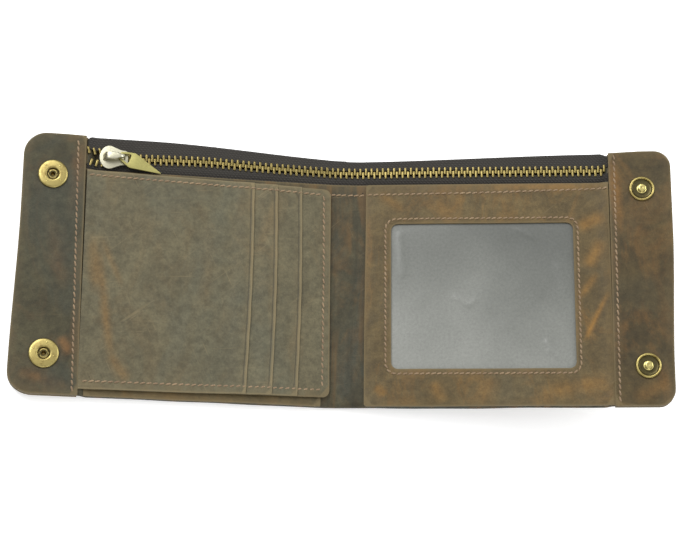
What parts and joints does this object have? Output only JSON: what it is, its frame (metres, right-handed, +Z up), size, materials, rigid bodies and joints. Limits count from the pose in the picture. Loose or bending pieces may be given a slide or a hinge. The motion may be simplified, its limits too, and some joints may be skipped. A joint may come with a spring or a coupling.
{
  "type": "bifold snap wallet",
  "caption": "Open long bifold leather wallet: zipped top pocket, flip card page, clear window panel and a snap tab at each end.",
  "frame": {"origin": "on the flat outer face of the left wing, below its middle", "axes": "+X along the wallet from the left tab to the right tab, +Y towards the zipper, +Z up out of the left wing's inside"},
  "size_m": [0.27, 0.11, 0.0351],
  "materials": {
    "outer_leather": "distressed pull-up, semi-matt",
    "inner_leather": "distressed pull-up, semi-matt",
    "zipper_tape": "woven",
    "zipper_teeth": "antiqued",
    "snap_brass": "antiqued",
    "slider_nickel": "polished nickel",
    "pull_brass": "polished",
    "window_film": "clear soft vinyl"
  },
  "bodies": {
    "left_wing": {"shell_left": "outer_leather", "front_leather_left": "inner_leather", "slip_panel_left": "inner_leather", "tape_front_left": "zipper_tape", "tape_back_left": "zipper_tape", "teeth_front_left": "zipper_teeth", "teeth_back_left": "zipper_teeth"},
    "left_tab": {"tab_shell_left": "outer_leather", "tab_lining_left": "inner_leather", "tab_facing_left": "outer_leather", "snap_sockets": "snap_brass", "snap_caps": "snap_brass"},
    "card_page": {"page_back": "inner_leather", "pocket_1": "inner_leather", "pocket_2": "inner_leather", "pocket_3": "inner_leather"},
    "zip_slider": {"slider_body": "slider_nickel", "slider_bridge": "slider_nickel"},
    "zip_pull": {"pull": "pull_brass"},
    "spine": {"shell_spine": "outer_leather", "front_leather_spine": "inner_leather", "tape_front_spine": "zipper_tape", "tape_back_spine": "zipper_tape", "teeth_front_spine": "zipper_teeth", "teeth_back_spine": "zipper_teeth"},
    "right_wing": {"shell_right": "outer_leather", "front_leather_right": "inner_leather", "id_panel": "inner_leather", "window_film": "window_film", "tape_front_right": "zipper_tape", "tape_back_right": "zipper_tape", "teeth_front_right": "zipper_teeth", "teeth_back_right": "zipper_teeth"},
    "right_tab": {"tab_shell_right": "outer_leather", "tab_lining_right": "inner_leather", "tab_facing_right": "outer_leather", "snap_studs": "snap_brass", "snap_rivets": "snap_brass"}
  },
  "joints": [
    {"name": "spine_fold", "type": "hinge", "parent": "left_wing", "child": "spine", "pos_m": [0.0498, 0, 0.0028], "axis": [0, 1, 0], "range_deg": [-84, 6]},
    {"name": "wing_fold", "type": "hinge", "parent": "spine", "child": "right_wing", "pos_m": [0.06014, 0, 0.00389], "axis": [0, 1, 0], "range_deg": [-84, 6]},
    {"name": "left_tab_bend", "type": "hinge", "parent": "left_wing", "child": "left_tab", "pos_m": [-0.055, 0, 0.005], "axis": [0, -1, 0], "range_deg": [0, 25]},
    {"name": "right_tab_bend", "type": "hinge", "parent": "right_wing", "child": "right_tab", "pos_m": [0.1622, 0, 0.02783], "axis": [0, 1, 0], "range_deg": [0, 25]},
    {"name": "page_flip", "type": "hinge", "parent": "left_wing", "child": "card_page", "pos_m": [-0.0544, 0, 0.0069], "axis": [0, -1, 0], "range_deg": [0, 165]},
    {"name": "zip_slide", "type": "slide", "parent": "left_wing", "child": "zip_slider", "axis": [1, 0, 0], "range_m": [0, 0.072], "deforming": ["teeth_front_left", "teeth_back_left", "tape_front_left", "tape_back_left"]},
    {"name": "pull_swing", "type": "hinge", "parent": "zip_slider", "child": "zip_pull", "pos_m": [-0.0419, 0.0478, 0.0062], "axis": [0, -1, 0], "range_deg": [0, 130]}
  ],
  "couplings": [
    {"joint": "spine_fold", "follows": "wing_fold", "ratio": 1}
  ]
}
